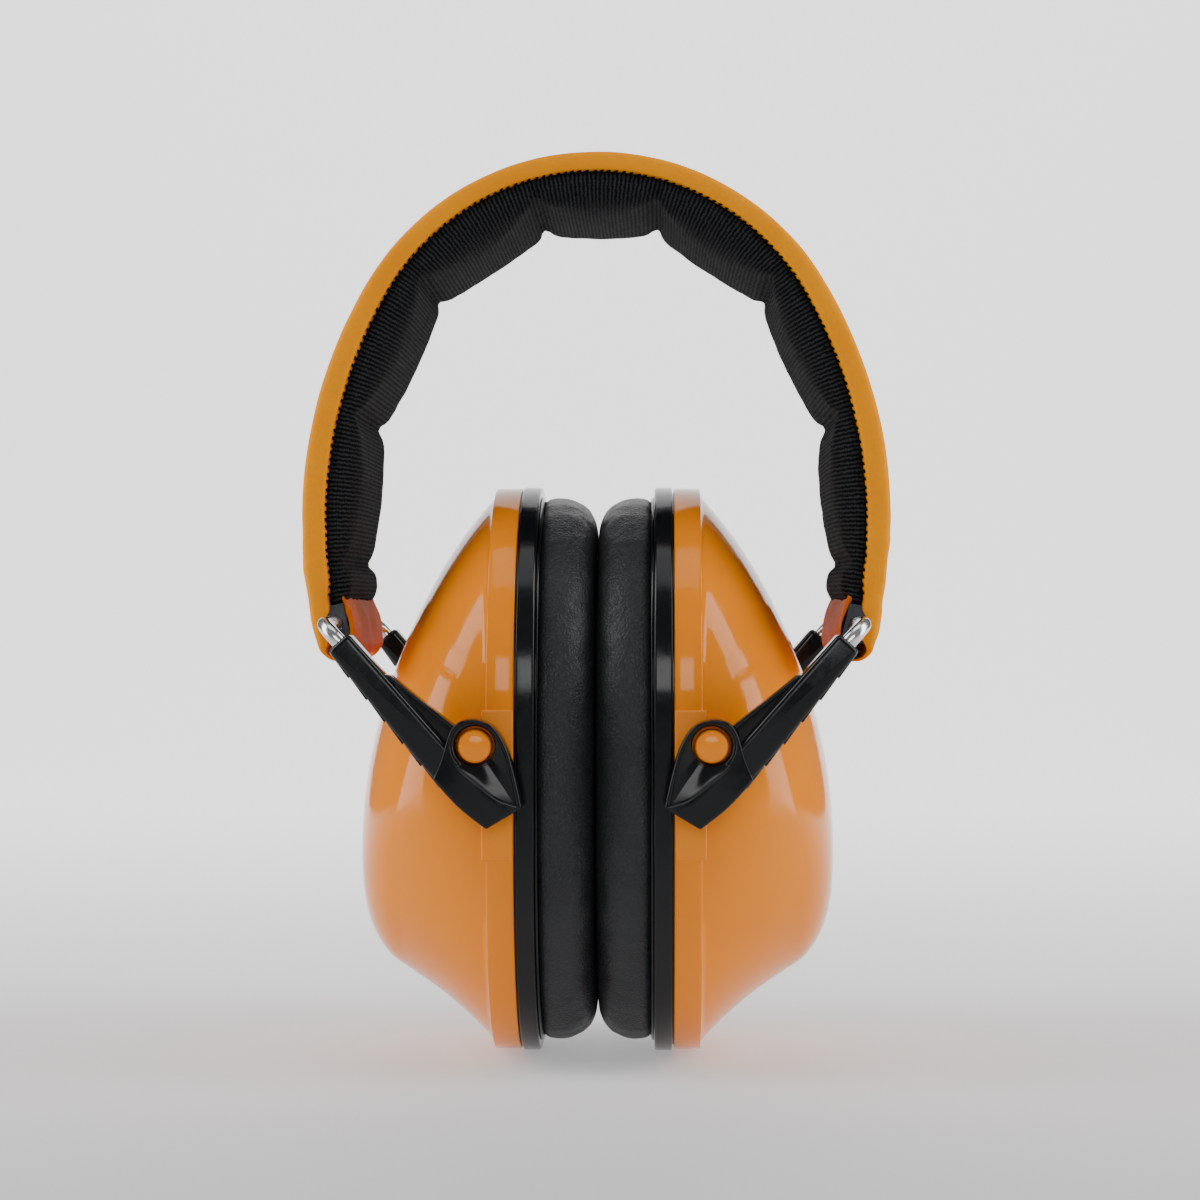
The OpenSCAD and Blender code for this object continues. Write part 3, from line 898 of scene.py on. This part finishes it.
def foam_material(name, colour):
    mat, tree, b = material(name)
    at = coords(tree)
    cells = node(tree, "ShaderNodeTexVoronoi", {"Vector": at, "Scale": 1300.0}, feature="DISTANCE_TO_EDGE")
    pores = ramp(tree, cells.outputs["Distance"], [(0.0, 1.0), (0.35, 0.0)])
    mott = node(tree, "ShaderNodeTexNoise", {"Vector": at, "Scale": 500.0, "Detail": 4.0})
    dark = tuple(c * 0.45 for c in colour)
    tree.links.new(ramp(tree, mott.outputs["Fac"], [(0.3, dark), (0.7, colour)]), b.inputs["Base Color"])
    tree.links.new(ramp(tree, mott.outputs["Fac"], [(0.3, 0.9), (0.7, 1.0)]), b.inputs["Roughness"])
    tree.links.new(bump(tree, pores, 0.8, 0.0003), b.inputs["Normal"])
    return mat


def write_flap_shade(obj):
    """Marks the turned-in flap at the cover's ends for painted shade: its inner face is given a darker
    colour.
    """
    att = obj.data.attributes.new("flap_shade", "FLOAT", "POINT")
    for i, v in enumerate(obj.data.vertices):
        s, d = band_s(v.co / MM)
        att.data[i].value = smoothstep(HEM - 3, HEM, abs(s)) * smoothstep(3.4, 4.6, d)


def put(obj, mat):
    obj.data.materials.clear()
    obj.data.materials.append(mat)


def write_knit_uv(obj):
    """Stores each point's way along the band and round the pad, in millimetres, for the ribs to follow."""
    att = obj.data.attributes.new("knit_uv", "FLOAT_VECTOR", "POINT")
    for i, v in enumerate(obj.data.vertices):
        s, d = band_s(v.co / MM)
        y = v.co.y / MM
        att.data[i].vector = (s, y + (8 - d if y > 0 else d - 8) * smoothstep(19.5, 21.8, abs(y)), 0)


# ---------------------------------------------------------------- the stage
def make_stage():
    """A pale floor that sweeps up behind the object and glows as painted light, more towards the back, and
    soft boxes at the sides, above and in front.
    """
    z0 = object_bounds()[0][2] - 0.0005
    profile = [(-2.0, z0)] + [(0.55 + 0.45 * math.sin(a), z0 + 0.45 * (1 - math.cos(a)))
                              for a in (math.pi / 2 * k / 16 for k in range(17))] + [(1.0, z0 + 2.0)]
    half = [1.6] + [1.6 - 1.18 * smoothstep(0.5, 0.7, y) for y, z in profile[1:]]
    verts = [(sign * w / MM, y / MM, z / MM) for (y, z), w in zip(profile, half) for sign in (-1, 1)]
    faces = [(2 * k, 2 * k + 1, 2 * k + 3, 2 * k + 2) for k in range(len(profile) - 1)]
    sweep = mesh_object("floor", verts, faces)
    mat, tree, b = material("glowing_sweep")
    b.inputs["Base Color"].default_value = (0.62, 0.62, 0.62, 1)
    b.inputs["Roughness"].default_value = 0.9
    b.inputs["Specular IOR Level"].default_value = 0.1
    place = node(tree, "ShaderNodeSeparateXYZ", {"Vector": coords(tree)})
    # painted light: the sweep's own glow, none in front of the object and rising to its brightest behind it
    glow = node(tree, "ShaderNodeMapRange",
                {"Value": place.outputs["Y"], "From Min": -0.3, "From Max": 0.6, "To Max": 1.5},
                interpolation_type="SMOOTHSTEP")
    b.inputs["Emission Color"].default_value = (1, 1, 1, 1)
    tree.links.new(glow.outputs["Result"], b.inputs["Emission Strength"])
    sweep.data.materials.append(mat)
    world = bpy.data.worlds.new("studio")
    bpy.context.scene.world = world
    world.use_nodes = True
    world.node_tree.nodes["Background"].inputs[0].default_value = (1, 1, 1, 1)
    world.node_tree.nodes["Background"].inputs[1].default_value = 0.20

    def softbox(name, place, size, power, target=(0, 0, -0.07)):
        light = bpy.data.lights.new(name, "AREA")
        light.shape, light.size, light.size_y, light.energy = "RECTANGLE", size[0], size[1], power
        obj = bpy.data.objects.new(name, light)
        obj.location = place
        obj.rotation_euler = (Vector(target) - Vector(place)).to_track_quat("-Z", "Y").to_euler()
        bpy.context.collection.objects.link(obj)

    for sign, side in ((-1, "left"), (1, "right")):
        spot = Vector((sign * 0.64, -0.10, 0))
        softbox(f"{side}_low_box", spot + Vector((0, 0, 0.03)), (0.34, 0.42), 2.3)
        softbox(f"{side}_high_box", spot + Vector((0, 0, 0.50)), (0.34, 0.44), 2.5)
    softbox("top_box", (0, -0.2, 0.75), (0.6, 0.4), 1.2)
    softbox("front_box", (0, -0.9, 0.17), (0.42, 0.28), 1.7)


def make_camera():
    cam = bpy.data.cameras.new("camera")
    cam.lens, cam.sensor_width = 85.5, 36.0
    cam.clip_start, cam.clip_end = 0.01, 20
    cam.dof.use_dof = False
    obj = bpy.data.objects.new("camera", cam)
    bpy.context.collection.objects.link(obj)
    dist, yaw = 0.470, math.radians(1.2)
    aim = Vector((0.0002, 0, -0.062))
    obj.location = aim + Vector((math.sin(yaw), -math.cos(yaw), 0)) * dist
    obj.rotation_euler = (aim - obj.location).to_track_quat("-Z", "Y").to_euler()
    bpy.context.scene.camera = obj


# ---------------------------------------------------------------- put it together
make_camera()
make_stage()

# the last colour is painted shade, a darker orange for the inner face of the turned-in flap
COVER_LEATHER = leather("cover_leather", (0.90, 0.315, 0.001), (0.86, 0.285, 0.001), scale=900.0,
                        depth=0.22, rough=0.5, shine=0.10, ior=1.12, flap_shade_colour=(0.62, 0.125, 0.001))
CUSHION_LEATHER = leather("cushion_leather", (0.016, 0.019, 0.021), (0.011, 0.013, 0.015), scale=1450.0,
                          depth=0.4, rough=0.42, shine=0.5, ior=1.4)
KNIT = knit_material()
ORANGE = gloss_plastic("orange_shell", (0.88, 0.245, 0.001), (0.85, 0.23, 0.001), 0.08, 0.0, 0.0)
ORANGE_MATT = gloss_plastic("orange_land", (0.90, 0.262, 0.002), (0.87, 0.25, 0.002), 0.3, 0.2, 0.0)
BLACK = gloss_plastic("black_gloss", (0.006, 0.007, 0.008), (0.003, 0.004, 0.005), 0.13, 0.03, 0.0)
WIRE = steel("bright_wire", (0.80, 0.80, 0.82), 0.12, False)
PLATED = steel("blackened_steel", (0.055, 0.058, 0.062), 0.34, True)
SPRING = steel("spring_steel", (0.34, 0.35, 0.38), 0.30, True)
FOAM = foam_material("foam_grey", (0.36, 0.36, 0.35))

cover = make_cover()
# painted shade on the turned-in flaps
write_flap_shade(cover)
put(cover, COVER_LEATHER)
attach(cover, "headband")
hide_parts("cover")

pad = make_pad()
write_knit_uv(pad)
put(pad, KNIT)
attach(pad, "headband")
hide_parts("pad_knit", "pad_foam")

stitches = make_stitches()
put(stitches, KNIT)
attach(stitches, "headband")

liner_r = make_end_liner()
liner_l = mirrored(liner_r, "left_end_liner", "x")
for liner in (liner_r, liner_l):
    put(liner, BLACK)
    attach(liner, "headband")

for name in ("left_bracket", "right_bracket", "bracket_rivets"):
    put(frame["nodes"][name], PLATED)
put(frame["nodes"]["spring_band"], SPRING)
for name in ("left_yoke_wire", "right_yoke_wire"):
    put(frame["nodes"][name], WIRE)
for name in ("left_absorber", "right_absorber"):
    put(frame["nodes"][name], FOAM)

sleeve = make_sleeve()
sleeves = [(sleeve, "right", "front"), (mirrored(sleeve, "right_rear_slider", "y"), "right", "rear"),
           (mirrored(sleeve, "left_front_slider", "x"), "left", "front"),
           (mirrored(sleeve, "left_rear_slider", "xy"), "left", "rear")]
for one, side, end in sleeves:
    put(one, BLACK)
    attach(one, f"{side}_slider")
    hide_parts(f"{side}_{end}_sleeve")

cushion_r = make_cushion()
carrier_r, ring_r, dome_r = make_cushion_plate(), make_back_plate(), make_shell()
extras_r = joined(make_pegs(), "right_pegs")
land_r = joined([make_land(-1), make_land(1)], "right_lands")
CUP = [(cushion_r, "ear_cushion", CUSHION_LEATHER, "cushion_leather", "cushion"),
       (carrier_r, "cushion_carrier", BLACK, "black_gloss", "cushion_plate"),
       (ring_r, "plate_ring", BLACK, "black_gloss", "back_plate"),
       (dome_r, "cup_dome", ORANGE, "orange_gloss", "shell"),
       (extras_r, "pegs", ORANGE, "orange_gloss", None),
       (land_r, "lands", ORANGE_MATT, "orange_gloss", None)]
for obj, name, mat, slot, cad in CUP:
    pair = {"right": obj, "left": mirrored(obj, f"left_{name}", "x")}
    for side, one in pair.items():
        put(one, mat)
        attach(one, f"{side}_cup")
        if cad:
            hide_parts(f"{side}_{cad}")
        if cad == "cushion":
            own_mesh(one)
